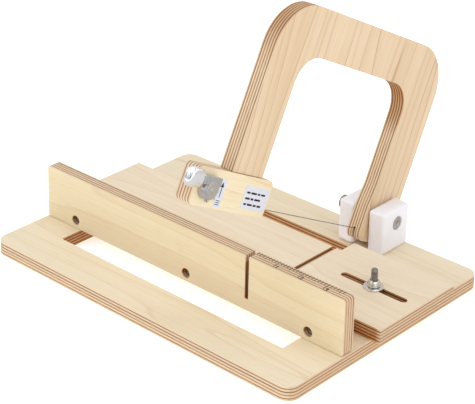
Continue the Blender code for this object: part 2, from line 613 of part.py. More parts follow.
def worm_helix():
    """Thread centre line: below the shaft it crosses the gear's middle at Y = 0."""
    turns, steps_per_turn, radius = 4.0, 20, 1.6 * MM
    path = []
    for step in range(int(turns * steps_per_turn) + 1):
        turn = step / steps_per_turn - turns / 2
        angle = 2 * math.pi * turn
        path.append((radius * math.sin(angle), THREAD_PITCH * turn, -radius * math.cos(angle)))
    return path


def tuner_worm(worm_pivot):
    """Worm shaft along Y, with the thread around its origin and the button's seat in front."""
    core, journal, seat = 1.4 * MM, 1.4 * MM, 1.9 * MM
    front, rear = BUTTON_FRONT + 0.8 * MM, 6.8 * MM
    profile = [(0, rear), (core, rear), (core, -10.0 * MM), (journal, -10.0 * MM), (journal, -14.4 * MM),
               (seat, -14.4 * MM), (seat, front), (0, front)]
    worm = turned("tuner_worm", profile, (0, 0, 0), ALONG_Y, "zinc", worm_pivot, steps=20)
    thread = place("worm_thread", tube_mesh("worm_thread", worm_helix(), 0.4 * MM, 1), parent=worm_pivot)
    combine(worm, thread, "UNION")
    cut(worm, rod("button_screw_hole", 0.95 * MM, front - EPS, front + 7 * MM, (0, 0, 0), ALONG_Y,
                  parent=worm_pivot, steps=12))


def tuner_button(worm_pivot):
    """An oval knob, flat at both ends, with its long way up and down."""
    build = bmesh.new()
    bmesh.ops.create_uvsphere(build, u_segments=28, v_segments=16, radius=1.0)
    bmesh.ops.scale(build, vec=(5.4 * MM, 8.7 * MM, 9.8 * MM), verts=build.verts)
    mesh = bpy.data.meshes.new("tuner_button")
    build.to_mesh(mesh)
    build.free()
    mesh.transform(ALONG_Y)
    smooth(mesh)
    button = place("tuner_button", mesh, "chrome", worm_pivot)
    button.location = (0, BUTTON_MIDDLE, 0)
    past = 4 * MM
    for name, low, high in (("front", BUTTON_FRONT - past, BUTTON_FRONT),
                            ("rear", BUTTON_REAR, BUTTON_REAR + past)):
        cut(button, box(f"button_{name}_cut", (-8 * MM, low, -14 * MM), (8 * MM, high, 14 * MM),
                        parent=worm_pivot))
    cut(button, rod("button_bore", 2.2 * MM, BUTTON_FRONT - past, BUTTON_REAR + past, (0, 0, 0), ALONG_Y,
                    parent=worm_pivot))
    profile = [(0, 1.9 * MM), (1.4 * MM, 1.7 * MM), (2.7 * MM, 0.8 * MM), (2.9 * MM, 0), (0.65 * MM, 0),
               (0.65 * MM, -6.0 * MM), (0, -6.0 * MM)]
    screw = turned("tuner_button_screw", profile, (0, BUTTON_FRONT - GAP, 0), ALONG_MINUS_Y, "zinc",
                   worm_pivot, steps=20)
    cut(screw, box("button_screw_slot", (-0.35 * MM, -4 * MM, 0.9 * MM), (0.35 * MM, 4 * MM, 3 * MM),
                   parent=screw))


# ---- adjustable stop ------------------------------------------------------------------------------
def stop_pieces(slide):
    """Carriage bolt, washer and wing nut, drawn around the bolt's axis with Z from the base's underside."""
    head_top = BED_BOTTOM + 4.9 * MM
    profile = [(0, STOP_TOP), (BOLT_RADIUS - 0.6 * MM, STOP_TOP), (BOLT_RADIUS, STOP_TOP - 0.6 * MM),
               (BOLT_RADIUS, head_top), (7.3 * MM, head_top), (7.3 * MM, head_top - 1.4 * MM),
               (5.4 * MM, head_top - 3.2 * MM), (0, head_top - 3.4 * MM)]
    turned("stop_bolt", profile, (0, 0, 0), ALONG_Z, "zinc", slide, steps=28)
    washer = [(8.6 * MM, BED_TOP + GAP + 1.2 * MM), (8.6 * MM, BED_TOP + GAP), (BORE_RADIUS, BED_TOP + GAP),
              (BORE_RADIUS, BED_TOP + GAP + 1.2 * MM)]
    turned("stop_washer", washer, (0, 0, 0), ALONG_Z, "zinc", slide, steps=32, closed=True)


def wing_nut(slide):
    seat = BED_TOP + 2 * GAP + 1.2 * MM
    top = seat + 5.2 * MM
    profile = [(0, top), (4.6 * MM, top), (5.8 * MM, seat + 1.6 * MM), (5.8 * MM, seat), (0, seat)]
    nut = turned("wing_nut", profile, (0, 0, 0), ALONG_Z, "chrome", slide, steps=28)
    lobe = 3.8 * MM
    for side in (-1, 1):
        centre = (side * 6.6 * MM, seat + lobe + 0.5 * MM)
        wing = flat(f"wing_{'left' if side < 0 else 'right'}", [arc(centre, lobe, 0, 345, 23)],
                    -1.3 * MM, 1.3 * MM, ALONG_MINUS_Y, parent=slide)
        wing.rotation_euler = (0, 0, math.radians(110))
        combine(nut, wing, "UNION")
    cut(nut, rod("wing_nut_bore", BORE_RADIUS, seat - EPS, top + 6 * MM, (0, 0, 0), ALONG_Z,
                 parent=slide))


def build():
    base_board()
    fence()
    bed_board()
    board_screws()
    hinge_blocks()
    hinge_hardware()

    hinge = pivot("bow_pivot", (0, 0, AXIS_Z), -RAISE)
    bow(hinge)
    tension_block(hinge)
    wire_pieces(hinge)
    tuner_housing(hinge)
    mount_screw(hinge)
    tuner_bushing(hinge)
    tuner_post(pivot("post_pivot", (0, GEAR_Y, GEAR_Z), parent=hinge))
    worm_pivot = pivot("worm_pivot", (GEAR_X, GEAR_Y, WORM_Z), parent=hinge)
    tuner_worm(worm_pivot)
    tuner_button(worm_pivot)

    stop_slide = pivot("stop_slide", (STOP_X, STOP_Y, 0))
    stop_pieces(stop_slide)
    wing_nut(stop_slide)
    bpy.context.view_layer.update()


build()
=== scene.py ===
"""Looks for the plywood wire soap cutter: materials, fine metalwork, ruler, labels, light and camera.

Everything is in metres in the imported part's frame: X along the fence, Y to the rear, Z up, with
X = 0 on the cutting wire and Y = 0 under the bow's hinge axis.  The bow rests raised, so pieces on
it are drawn in its lowered frame, around the hinge axis, and turned up by RAISE.
"""
import json
import math

import bmesh
import bpy
from mathutils import Matrix, Vector

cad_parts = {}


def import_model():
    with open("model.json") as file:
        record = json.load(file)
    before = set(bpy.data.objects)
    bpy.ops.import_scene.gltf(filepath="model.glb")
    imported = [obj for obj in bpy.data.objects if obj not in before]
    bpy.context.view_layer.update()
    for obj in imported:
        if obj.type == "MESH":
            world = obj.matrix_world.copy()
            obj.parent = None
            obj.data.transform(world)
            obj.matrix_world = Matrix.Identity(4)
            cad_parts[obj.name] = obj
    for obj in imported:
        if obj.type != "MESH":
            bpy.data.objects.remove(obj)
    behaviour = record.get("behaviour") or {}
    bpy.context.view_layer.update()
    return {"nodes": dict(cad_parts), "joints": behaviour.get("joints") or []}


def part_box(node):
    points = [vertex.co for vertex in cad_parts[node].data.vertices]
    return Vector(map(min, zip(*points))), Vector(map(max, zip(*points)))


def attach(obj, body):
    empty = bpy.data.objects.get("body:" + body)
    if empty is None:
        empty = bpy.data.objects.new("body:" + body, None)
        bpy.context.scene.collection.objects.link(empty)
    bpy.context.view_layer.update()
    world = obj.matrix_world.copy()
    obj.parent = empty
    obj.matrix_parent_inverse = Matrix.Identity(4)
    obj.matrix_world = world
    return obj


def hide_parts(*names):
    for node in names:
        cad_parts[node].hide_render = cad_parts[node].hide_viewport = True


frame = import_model()

MM = 0.001
RAISE = math.radians(27.0)            # the bow's angle at rest
NODES = frame["nodes"]


def joint(name):
    return next(item for item in frame["joints"] if item["name"] == name)


HINGE = Vector(joint("bow_hinge")["pos_m"])
LOWERED = Matrix.Translation(HINGE) @ Matrix.Rotation(-RAISE, 4, "X")
ALONG_X = Matrix(((0, 0, 1, 0), (1, 0, 0, 0), (0, 1, 0, 0), (0, 0, 0, 1)))
ALONG_MINUS_Y = Matrix(((1, 0, 0, 0), (0, 0, -1, 0), (0, 1, 0, 0), (0, 0, 0, 1)))
ALONG_MINUS_Z = Matrix(((1, 0, 0, 0), (0, -1, 0, 0), (0, 0, -1, 0), (0, 0, 0, 1)))


# ---- node materials ----------------------------------------------------------------------------
class Shader:
    """A Principled material whose node graph is written as nested calls."""

    def __init__(self, name):
        self.material = bpy.data.materials.new(name)
        self.material.use_nodes = True
        self.tree = self.material.node_tree
        self.surface = self.tree.nodes["Principled BSDF"]

    def connect(self, socket, value):
        if isinstance(value, bpy.types.NodeSocket):
            self.tree.links.new(value, socket)
        elif value is not None:
            socket.default_value = value

    def node(self, kind, inputs=(), output=0, **settings):
        """Add a node, feed its inputs (a list, or a dict by name) and return one output."""
        made = self.tree.nodes.new(kind)
        for key, value in settings.items():
            setattr(made, key, value)
        pairs = inputs.items() if isinstance(inputs, dict) else enumerate(inputs)
        for key, value in pairs:
            self.connect(made.inputs[key], value)
        return made.outputs[output]

    def math(self, operation, a, b=None, clamp=False):
        return self.node("ShaderNodeMath", [a, b], operation=operation, use_clamp=clamp)

    def add(self, a, b):
        return self.math("ADD", a, b)

    def times(self, a, b):
        return self.math("MULTIPLY", a, b)

    def span(self, value, low, high, to_low=0.0, to_high=1.0):
        """Smoothly carry low..high over to to_low..to_high, and hold the ends."""
        return self.node("ShaderNodeMapRange", {"Value": value, "From Min": low, "From Max": high,
                                                "To Min": to_low, "To Max": to_high},
                         interpolation_type="SMOOTHSTEP")

    def mix(self, factor, a, b):
        made = self.tree.nodes.new("ShaderNodeMix")
        made.data_type = "RGBA"
        for index, value in ((0, factor), (6, a), (7, b)):
            self.connect(made.inputs[index], value)
        return made.outputs[2]

    def point(self):
        return self.node("ShaderNodeTexCoord", output="Object")

    def split(self, vector):
        made = self.tree.nodes.new("ShaderNodeSeparateXYZ")
        self.connect(made.inputs[0], vector)
        return made.outputs[0], made.outputs[1], made.outputs[2]

    def join(self, x, y, z):
        return self.node("ShaderNodeCombineXYZ", [x, y, z])

    def noise(self, vector, scale, detail=2.0, roughness=0.5, distortion=0.0):
        return self.node("ShaderNodeTexNoise", {"Vector": vector, "Scale": scale, "Detail": detail,
                                                "Roughness": roughness, "Distortion": distortion})

    def stretched(self, u, v, w, u_scale, v_scale, w_scale, detail=2.0, roughness=0.5, distortion=0.0):
        """Noise with its own scale, per metre, along each of three directions."""
        vector = self.join(self.times(u, u_scale), self.times(v, v_scale), self.times(w, w_scale))
        return self.noise(vector, 1.0, detail, roughness, distortion)

    def bump(self, height, distance, strength=1.0):
        normal = self.node("ShaderNodeBump", {"Height": height, "Distance": distance, "Strength": strength})
        self.connect(self.surface.inputs["Normal"], normal)

    def finish(self, **inputs):
        """Set Principled inputs by name, with _ for a space, and return the material."""
        for key, value in inputs.items():
            self.connect(self.surface.inputs[key.replace("_", " ")], value)
        return self.material


def colour(red, green, blue):
    """A colour from sRGB values of 0 to 255."""
    linear = [((c / 255 + 0.055) / 1.055) ** 2.4 if c > 10 else c / 3295 for c in (red, green, blue)]
    return (*linear, 1.0)


def plywood(name, grain, across, thick, start, depth, plies=9, light=(247, 234, 208), warm=(236, 216, 180),
            raised=False, rings=8.0, lines=0.12, char_and_shade=(), kerf_below=None, seed=0.0):
    """Birch plywood: veneer figure on the faces and a stack of plies on the edges.

    grain, across and thick are the axes ("X", "Y", "Z") that the face grain, the width and the
    plies take.  start and depth give the stack's place along thick.  light and warm are the veneer's
    two tones.  raised is for a board on the raised bow, whose figure is laid out as if lowered.
    rings is how close the growth rings are, and lines is how dark.  char_and_shade lists boxes in the
    board's plane in which the edges are darkened: by laser char, and in the box under the bow's arch by
    painted shade as well.  Each box gives the low corner and the high corner (along and across the grain),
    the fade along the grain, and how far, from 0 to 1.  kerf_below is the height under which a saw kerf
    runs up the middle ply, painted near black as the shade inside the slit.  seed moves the figure along
    the grain.
    """
    s = Shader(name)
    place = s.point()
    if raised:
        place = s.node("ShaderNodeVectorRotate", {"Vector": place, "Center": HINGE, "Angle": RAISE},
                       rotation_type="X_AXIS")
    axes = dict(zip("XYZ", s.split(place)))
    u, v, w = axes[grain], axes[across], axes[thick]
    u = s.add(u, seed)
    normal = dict(zip("XYZ", s.split(s.node("ShaderNodeTexCoord", output="Normal"))))
    edge = s.span(s.math("ABSOLUTE", normal[thick]), 0.80, 0.45)

    # veneer face: growth rings as level lines of a stretched noise, then fibres and pores
    field = s.stretched(u, v, w, 1.9, 21.0, 0.0, detail=1.5, roughness=0.4, distortion=0.25)
    ring = s.math("FRACT", s.times(field, rings))
    late = s.times(s.span(ring, 0.35, 0.96), s.span(ring, 1.0, 0.965))
    fibre = s.stretched(u, v, w, 9.0, 520.0, 90.0, detail=3.0, roughness=0.6)
    fine = s.stretched(u, v, w, 38.0, 1900.0, 300.0, detail=2.0, roughness=0.6)
    broad = s.stretched(u, v, w, 2.6, 12.0, 0.0, detail=2.0)
    dashes = s.span(s.stretched(u, v, w, 42.0, 780.0, 0.0, detail=2.0, roughness=0.5), 0.60, 0.72)
    pores = s.span(s.stretched(u, v, w, 110.0, 2600.0, 300.0, detail=1.0), 0.70, 0.78)
    tone = s.add(s.times(late, 0.26), s.times(s.span(broad, 0.35, 0.68), 0.30))
    tone = s.add(tone, s.times(s.add(fibre, -0.5), 1.0))
    tone = s.add(tone, s.times(s.add(fine, -0.5), 0.6))
    face = s.mix(s.math("ADD", tone, 0.12, clamp=True), colour(*light), colour(*warm))
    line = s.times(s.span(ring, 0.90, 0.965), s.span(ring, 1.0, 0.975))
    face = s.mix(s.times(line, lines), face, colour(176, 130, 86))
    face = s.mix(s.times(dashes, 0.22), face, colour(206, 168, 120))
    face = s.mix(s.times(pores, 0.22), face, colour(170, 128, 86))

    # edge: pale long-grain plies with thinner, darker end-grain plies between them
    pairs = s.times(s.add(w, -start), plies / (2 * depth))
    index = s.math("FLOOR", pairs)
    within = s.math("FRACT", pairs)
    cross = s.span(s.math("ABSOLUTE", s.add(within, -0.75)), 0.24, 0.17)
    shade = s.node("ShaderNodeTexWhiteNoise", {"W": s.add(index, 3.7 + seed)}, noise_dimensions="1D")
    streak = s.stretched(u, v, w, 55.0, 55.0, 2400.0, detail=3.0, roughness=0.65)
    end_grain = s.stretched(u, v, w, 900.0, 900.0, 900.0, detail=3.0, roughness=0.7)
    patch = s.stretched(u, v, w, 70.0, 70.0, 500.0, detail=2.0)
    long_ply = s.mix(streak, colour(222, 190, 152), colour(250, 234, 206))
    cross_ply = s.mix(end_grain, colour(134, 90, 58), colour(194, 148, 108))
    cross_ply = s.mix(s.times(s.span(patch, 0.35, 0.6), 0.35), cross_ply, colour(214, 178, 136))
    cross_ply = s.mix(s.times(s.span(shade, 0.45, 0.9), 0.55), cross_ply, colour(104, 66, 40))
    stack = s.mix(cross, long_ply, cross_ply)
    stack = s.mix(s.times(shade, 0.12), stack, colour(186, 138, 92))
    if not raised:
        # an end cut across the grain is darker than an edge along it
        across_the_ends = s.span(s.math("ABSOLUTE", normal[grain]), 0.55, 0.85, 0.0, 0.34)
        stack = s.mix(across_the_ends, stack, colour(176, 130, 88))
    patchiness = s.span(s.stretched(u, v, w, 30.0, 30.0, 60.0, detail=2.0), 0.2, 0.8, 0.8, 1.15)
    char_and_shade_tone = s.mix(cross, colour(196, 134, 72), colour(86, 46, 18))
    # each box darkens the edges inside it: laser char, and in the box under the bow's arch painted shade as
    # well
    for (u0, v0), (u1, v1), fade, strength in char_and_shade:
        inside = s.times(s.span(u, u0 + seed, u0 + seed + fade), s.span(u, u1 + seed, u1 + seed - fade))
        inside = s.times(inside, s.times(s.math("GREATER_THAN", v, v0), s.math("LESS_THAN", v, v1)))
        stack = s.mix(s.times(inside, s.times(patchiness, strength)), stack, char_and_shade_tone)

    relief = s.add(s.times(fibre, 0.5), s.add(s.times(fine, 0.4), s.times(late, 0.15)))
    edge_relief = s.add(s.times(streak, 0.6), s.times(cross, -0.6))
    s.bump(s.node("ShaderNodeMix", [edge, None, relief, edge_relief]), 0.00012, 0.55)
    surface = s.mix(edge, face, stack)
    # painted shade: a near-black stripe up the middle ply below the kerf's height, for the dark inside of
    # the slit
    if kerf_below:
        half_kerf = 1.15 * MM
        deep = s.math("LESS_THAN", s.math("ABSOLUTE", s.add(w, -start - depth / 2)), half_kerf)
        deep = s.times(deep, s.times(edge, s.math("LESS_THAN", u, kerf_below + seed)))
        surface = s.mix(s.times(deep, 0.95), surface, colour(30, 18, 12))
    return s.finish(Base_Color=surface, Roughness=s.add(s.times(fibre, 0.16), 0.46),
                    Specular_IOR_Level=0.32)


def polyethylene():
    """Milled HDPE: milky, softly translucent, with faint cutter marks and a faint painted glow."""
    s = Shader("milled_polyethylene")
    place = s.point()
    x, y, z = s.split(place)
    marks = s.stretched(x, y, z, 60.0, 60.0, 2600.0, detail=2.0, roughness=0.55)
    cloud = s.noise(place, 85.0, 3.0, 0.5)
    tint = s.mix(cloud, colour(238, 237, 243), colour(245, 245, 251))
    s.bump(s.add(s.times(marks, 0.5), s.times(cloud, 0.2)), 0.00008, 0.35)
    # painted glow: a faint white emission lightens the whole block, standing in for light through the
    # plastic
    return s.finish(Base_Color=tint, Roughness=s.add(s.times(marks, 0.12), 0.33),
                    Subsurface_Weight=0.35, Subsurface_Radius=Vector((1.0, 0.85, 0.8)),
                    Subsurface_Scale=0.006, Specular_IOR_Level=0.42, Emission_Color=colour(250, 243, 252),
                    Emission_Strength=0.075)


def metal(name, shade, roughness, worn=0.12, scratch=0.25, dark=(70, 68, 66), specks=0.0):
    """A plated metal with a cloudy finish, fine scratches and a few dull specks."""
    s = Shader(name)
    place = s.point()
    cloud = s.noise(place, 420.0, 3.0, 0.6)
    x, y, z = s.split(place)
    lines = s.stretched(x, y, z, 500.0, 4200.0, 900.0, detail=2.0, roughness=0.7)
    base = s.mix(s.times(s.span(cloud, 0.35, 0.75), worn), colour(*shade), colour(*dark))
    if specks:
        spots = s.span(s.noise(place, 1500.0, 2.0, 0.6), 0.55, 0.68)
        base = s.mix(s.times(spots, specks), base, colour(*dark))
    s.bump(s.add(s.times(lines, 0.5), s.times(cloud, 0.5)), 0.00003, scratch)
    return s.finish(Base_Color=base, Metallic=1.0, Roughness=s.add(s.times(cloud, 0.16), roughness))


def plain(name, low, high, roughness, scale=900.0, relief=0.2):
    """A matt non-metal whose colour drifts between two tones."""
    s = Shader(name)
    cloud = s.noise(s.point(), scale, 3.0, 0.6)
    s.bump(cloud, 0.00005, relief)
    return s.finish(Base_Color=s.mix(cloud, colour(*low), colour(*high)),
                    Roughness=s.add(s.times(cloud, 0.15), roughness))


def dowel_wood():
    s = Shader("beech_dowel")
    x, y, z = s.split(s.point())
    fibre = s.stretched(x, y, z, 1500.0, 1500.0, 60.0, detail=3.0, roughness=0.6)
    s.bump(fibre, 0.00005, 0.4)
    return s.finish(Base_Color=s.mix(fibre, colour(206, 166, 116), colour(232, 202, 158)), Roughness=0.6)


ZINC = metal("zinc_plate", (228, 230, 232), 0.2, worn=0.08, specks=0.1)
# painted highlight: the knob's chrome is lighter than the tuner housing's plating, a lit copy of the same
# plating
LIT_CHROME = metal("lit_chrome_plate", (248, 248, 250), 0.10, worn=0.03, scratch=0.06)
HOUSING = metal("nickel_housing", (196, 195, 197), 0.16, worn=0.12, scratch=0.12)
SATIN = metal("satin_cap", (206, 202, 194), 0.36, worn=0.12, scratch=0.3)
DARK_STEEL = metal("dark_bolt", (206, 200, 196), 0.42, worn=0.5, dark=(120, 116, 114), specks=0.6)
# the screws in the fence's holes get a dark brown steel, darker than the zinc of the other screws
DARK_BROWN_STEEL = metal("dark_brown_screw", (150, 128, 104), 0.45, worn=0.5, dark=(70, 54, 42), specks=0.5)
BRASS = metal("turned_brass", (214, 172, 96), 0.26)
NICKEL = metal("nickel_casting", (214, 212, 206), 0.2, worn=0.15, scratch=0.15)
DULL_ZINC = metal("dull_zinc", (156, 151, 148), 0.3, worn=0.5, scratch=0.3)
STEEL_WIRE = metal("drawn_wire", (150, 148, 146), 0.22)
NYLON = plain("nylon", (226, 222, 212), (240, 236, 228), 0.42)
LABEL = plain("label_film", (214, 216, 230), (232, 233, 243), 0.38, scale=160.0, relief=0.05)
INK = plain("printed_ink", (26, 18, 14), (52, 40, 32), 0.7, scale=2600.0)


# ---- mesh helpers ------------------------------------------------------------------------------
def modify(obj, kind, **settings):
    modifier = obj.modifiers.new(kind.lower(), kind)
    for key, value in settings.items():
        setattr(modifier, key, value)


def smooth(mesh, angle=35.0):
    """Shade a mesh smooth, apart from the edges that turn by more than the angle."""
    mesh.shade_smooth()
    mesh.set_sharp_from_angle(angle=math.radians(angle))


def soften(name, material, width=0.0, segments=2):
    """Give a CAD node its material, and round its sharp edges without touching its mesh."""
    node = NODES[name]
    node.data.materials.clear()
    node.data.materials.append(material)
    modify(node, "WELD", merge_threshold=0.000002)
    if width:
        modify(node, "DECIMATE", decimate_type="DISSOLVE", angle_limit=math.radians(0.4))
        modify(node, "BEVEL", width=width, segments=segments, limit_method="ANGLE",
               angle_limit=math.radians(32.0), harden_normals=False)


def piece(name, mesh, material, body, matrix=None, replaces=()):
    """Link a finished mesh, place it, and let it ride on a CAD body."""
    obj = bpy.data.objects.new(name, mesh)
    bpy.context.scene.collection.objects.link(obj)
    mesh.materials.clear()
    mesh.materials.append(material)
    if matrix is not None:
        mesh.transform(matrix)
    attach(obj, body)
    if replaces:
        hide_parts(*replaces)


def from_bmesh(name, build, angle=35.0):
    mesh = bpy.data.meshes.new(name)
    bmesh.ops.recalc_face_normals(build, faces=build.faces)
    build.to_mesh(mesh)
    build.free()
    smooth(mesh, angle)
    return mesh


def baked(name, mesh, steps):
    """Apply modifiers, each (kind, settings), to a mesh and return the result."""
    obj = bpy.data.objects.new(name, mesh)
    bpy.context.scene.collection.objects.link(obj)
    for kind, settings in steps:
        modify(obj, kind, **settings)
    graph = bpy.context.evaluated_depsgraph_get()
    result = bpy.data.meshes.new_from_object(obj.evaluated_get(graph))
    bpy.data.objects.remove(obj)
    return result


def cutter(mesh):
    """A hidden object that a Boolean can cut with."""
    obj = bpy.data.objects.new(mesh.name, mesh)
    bpy.context.scene.collection.objects.link(obj)
    obj.hide_render = True
    return obj


def skin(build, rings):
    """Join equal rings of vertices with quads, and cap the two ends."""
    count = len(rings[0])
    for lower, upper in zip(rings, rings[1:]):
        for i in range(count):
            j = (i + 1) % count
            build.faces.new((lower[i], lower[j], upper[j], upper[i]))
    build.faces.new(rings[0][::-1])
    build.faces.new(rings[-1])


def circle(build, radius, height, steps, wave=None):
    """A ring of vertices; wave(angle) may change the radius."""
    ring = []
    for step in range(steps):
        angle = 2 * math.pi * step / steps
        r = radius - (wave(angle) if wave else 0.0)
        ring.append(build.verts.new((r * math.cos(angle), r * math.sin(angle), height)))
    return ring


def fillet(profile, radius, steps=3):
    """Round the inner corners of an open (radius, height) profile."""
    rounded = [profile[0]]
    for before, corner, after in zip(profile, profile[1:], profile[2:]):
        here, back, ahead = Vector(corner), Vector(before), Vector(after)
        reach = min(radius, 0.45 * (back - here).length, 0.45 * (ahead - here).length)
        start = here + (back - here).normalized() * reach
        end = here + (ahead - here).normalized() * reach
        for step in range(steps + 1):
            t = step / steps
            spot = start * (1 - t) ** 2 + here * 2 * t * (1 - t) + end * t ** 2
            rounded.append((spot.x, spot.y))
    rounded.append(profile[-1])
    return rounded


def turned(name, profile, steps=48, round_by=0.0):
    """A turned solid: (radius, height) from its bottom to its top, capped at both ends."""
    if round_by:
        profile = fillet(profile, round_by)
    build = bmesh.new()
    skin(build, [circle(build, radius, height, steps) for radius, height in profile])
    return from_bmesh(name, build)


def threaded(name, stations, pitch, depth, steps=24, rows_per_turn=8, sharp=2.6):
    """A turned solid with a helical thread wherever a station says so.

    A station is (radius, height, amount) from the bottom up.  amount, from 0 to 1, says how deep the
    thread is cut, and a higher sharp makes its crest narrower.
    """
    build = bmesh.new()
    rings = []
    for (r0, z0, a0), (r1, z1, a1) in zip(stations, stations[1:]):
        rows = max(1, round((z1 - z0) / pitch * rows_per_turn)) if a0 or a1 else 1
        for row in range(rows):
            t = row / rows
            z = z0 + (z1 - z0) * t
            deep = depth * (a0 + (a1 - a0) * t)

            def groove(angle, z=z, deep=deep):
                phase = (z / pitch - angle / (2 * math.pi)) % 1.0
                return deep * min(1.0, 2 * sharp * abs(phase - 0.5))

            rings.append(circle(build, r0 + (r1 - r0) * t, z, steps, groove))
    radius, height, _ = stations[-1]
    rings.append(circle(build, radius, height, steps))
    skin(build, rings)
    return from_bmesh(name, build, 50.0)


def millimetres(stations):
    return [(radius * MM, height * MM, amount) for radius, height, amount in stations]


def rounded_outline(low, high, corner, steps=6):
    """A rectangle with rounded corners, anticlockwise."""
    outline = []
    middles = ((high[0] - corner, low[1] + corner, -90), (high[0] - corner, high[1] - corner, 0),
               (low[0] + corner, high[1] - corner, 90), (low[0] + corner, low[1] + corner, 180))
    for x, y, start in middles:
        for step in range(steps + 1):
            angle = math.radians(start + 90 * step / steps)
            outline.append((x + corner * math.cos(angle), y + corner * math.sin(angle)))
    return outline


def extruded(name, outlines, thickness):
    """Outlines in the local XY plane given thickness upwards from Z = 0."""
    build = bmesh.new()
    for outline in outlines:
        skin(build, [[build.verts.new((x, y, z)) for x, y in outline] for z in (0.0, thickness)])
    return from_bmesh(name, build)


def bar(x0, y0, x1, y1):
    return [(x0, y0), (x1, y0), (x1, y1), (x0, y1)]


def polygon(radius, sides, start=0.0):
    """The corners of a regular polygon whose first corner is at the angle start."""
    angles = [start + 2 * math.pi * i / sides for i in range(sides)]
    return [(radius * math.cos(angle), radius * math.sin(angle)) for angle in angles]


def cross_recess(reach, half, depth):
    """A tapered plus sign that cuts a screwdriver's recess down from Z = 0."""
    build = bmesh.new()
    rings = []
    for z, scale in ((-depth, 0.4), (0.3 * MM, 1.05)):
        ring = []
        for quarter in range(4):
            turn = Matrix.Rotation(quarter * math.pi / 2, 3, "Z")
            for x, y in ((reach, -half), (reach, half), (half, half)):
                ring.append(build.verts.new(turn @ Vector((x * scale, y * scale, z))))
        rings.append(ring)
    skin(build, rings)
    return cutter(from_bmesh("cross_recess", build))


def cut_with(mesh, *tools):
    """The mesh with each tool cut away from it."""
    steps = [("BOOLEAN", {"operation": "DIFFERENCE", "object": tool, "solver": "EXACT"}) for tool in tools]
    return baked(mesh.name, mesh, steps)


# ---- wood --------------------------------------------------------------------------------------
def wooden_pieces():
    """The boards, each with its own plywood, and the two dowels."""
    base_low, base_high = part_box("base_board")
    fence_low, fence_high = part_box("fence")
    bed_low, bed_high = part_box("bed_board")
    bow_low, bow_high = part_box("bow")
    block_low, block_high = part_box("tension_block")
    inset = 6 * MM

    def cuts_inside(low, high, across):
        """Char for the edges of holes: all of a board that runs along X, apart from its outer edges."""
        low_corner = (low[0] + inset, low[across] + inset)
        high_corner = (high[0] - inset, high[across] - inset)
        return ((low_corner, high_corner, inset, 0.85),)

    def stack(low, high, axis):
        """Where the plies start along an axis, and how deep they are together."""
        return low[axis], high[axis] - low[axis]

    nose_rear = -125 * MM
    bed_cuts = ((bed_low[0] + inset, nose_rear), (bed_high[0] - inset, 0.0), inset, 0.85)
    bed_nose = ((bed_low[0], -1.0), (bed_high[0], nose_rear), inset, 0.9)
    # under the bow's arch the edges are darkened partly as laser char and partly as painted shade
    char_and_shade_under_arch = ((HINGE.z + 66 * MM, -192 * MM), (HINGE.z + 146 * MM, -20 * MM), 26 * MM, 0.75)
    outer_curve = ((HINGE.z + 86 * MM, -1.0), (HINGE.z + 220 * MM, 1.0), 55 * MM, 0.6)
    boards = (
        ("base_board", plywood("plywood_base", "X", "Y", "Z", *stack(base_low, base_high, 2),
                               char_and_shade=cuts_inside(base_low, base_high, 1))),
        ("fence", plywood("plywood_fence", "X", "Z", "Y", *stack(fence_low, fence_high, 1), seed=0.37,
                          light=(246, 231, 196), warm=(234, 211, 167), rings=6.0, lines=0.08,
                          char_and_shade=cuts_inside(fence_low, fence_high, 2))),
        ("bed_board", plywood("plywood_bed", "X", "Y", "Z", *stack(bed_low, bed_high, 2), seed=0.81,
                              light=(250, 236, 212), warm=(239, 218, 186),
                              char_and_shade=(bed_cuts, bed_nose))),
        ("bow", plywood("plywood_bow", "Z", "Y", "X", *stack(bow_low, bow_high, 0), plies=11, raised=True,
                        light=(235, 211, 179), warm=(217, 184, 144), rings=11.0, lines=0.5, seed=0.13,
                        kerf_below=HINGE.z - 14.5 * MM, char_and_shade=(char_and_shade_under_arch, outer_curve))),
        ("tension_block", plywood("plywood_block", "Y", "Z", "X", *stack(block_low, block_high, 0),
                                  plies=11, raised=True, seed=0.59, light=(246, 231, 198),
                                  warm=(236, 213, 170), rings=6.0)),
    )
    for name, material in boards:
        soften(name, material, width=0.5 * MM, segments=3)
    dowels = dowel_wood()
    for end in ("front", "rear"):
        soften("block_dowel_" + end, dowels, width=0.4 * MM)


# ---- plain carried-over nodes ------------------------------------------------------------------
def carried_nodes():
    """The hinge blocks and the small parts that keep their CAD shape."""
    plastic = polyethylene()
    for side in ("left", "right"):
        soften("hinge_block_" + side, plastic)
        soften("hinge_spacer_" + side, NYLON)
    for name, material, width in (("hinge_washer", ZINC, 0.25), ("stop_washer", ZINC, 0.25),
                                  ("tuner_housing", HOUSING, 0.3), ("tuner_bushing", HOUSING, 0.25),
                                  ("tuner_post", ZINC, 0.15), ("tuner_gear", BRASS, 0.1),
                                  ("tuner_worm", ZINC, 0.0), ("tuner_mount_screw", ZINC, 0.1),
                                  ("tuner_button_screw", ZINC, 0.15), ("wire_ball_end", BRASS, 0.2),
                                  ("wire_guide_pin", DARK_STEEL, 0.2), ("cutting_wire", STEEL_WIRE, 0.0)):
        soften(name, material, width=width * MM)


# ---- screws, bolts and nuts --------------------------------------------------------------------
def middle_of(name):
    """The middle of a node's box."""
    low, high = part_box(name)
    return (Vector(low) + Vector(high)) / 2


